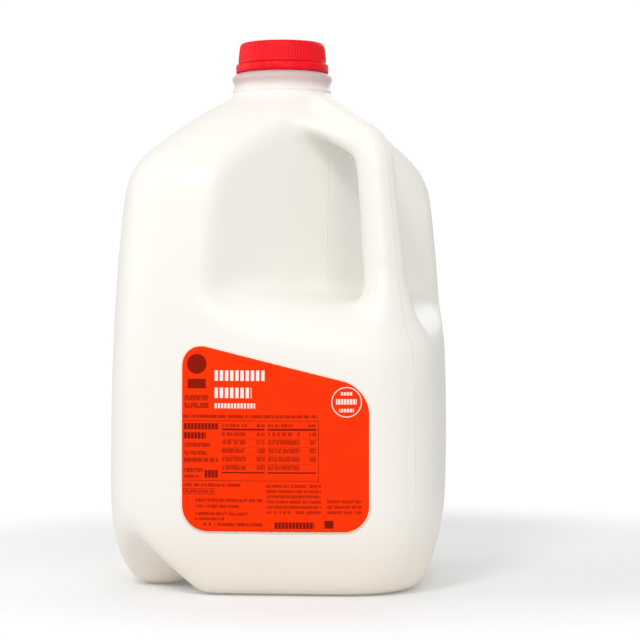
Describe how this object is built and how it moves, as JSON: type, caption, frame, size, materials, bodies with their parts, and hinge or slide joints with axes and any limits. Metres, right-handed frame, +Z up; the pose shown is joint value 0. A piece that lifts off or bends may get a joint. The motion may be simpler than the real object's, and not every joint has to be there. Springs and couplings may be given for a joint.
{
  "type": "plastic milk jug",
  "caption": "Square blow-moulded plastic gallon jug with a corner handle and grip recess, full of milk, with a ribbed snap cap and a slant-topped side label.",
  "frame": {"origin": "middle of the jug's footprint, on the surface it stands on, under the neck's axis", "axes": "+Z up along the neck's axis; +X towards the corner with the handle; the handle's gap runs through along Y"},
  "size_m": [0.1838, 0.1838, 0.2541],
  "materials": {
    "jug_plastic": "translucent satin polyethylene",
    "milk": "opaque white liquid, modelled as a solid up to its level",
    "cap_plastic": "satin red",
    "label_film": "satin printed film"
  },
  "bodies": {
    "root": {"jug": "jug_plastic", "milk": "milk", "cap": "cap_plastic", "label": "label_film"}
  },
  "joints": []
}
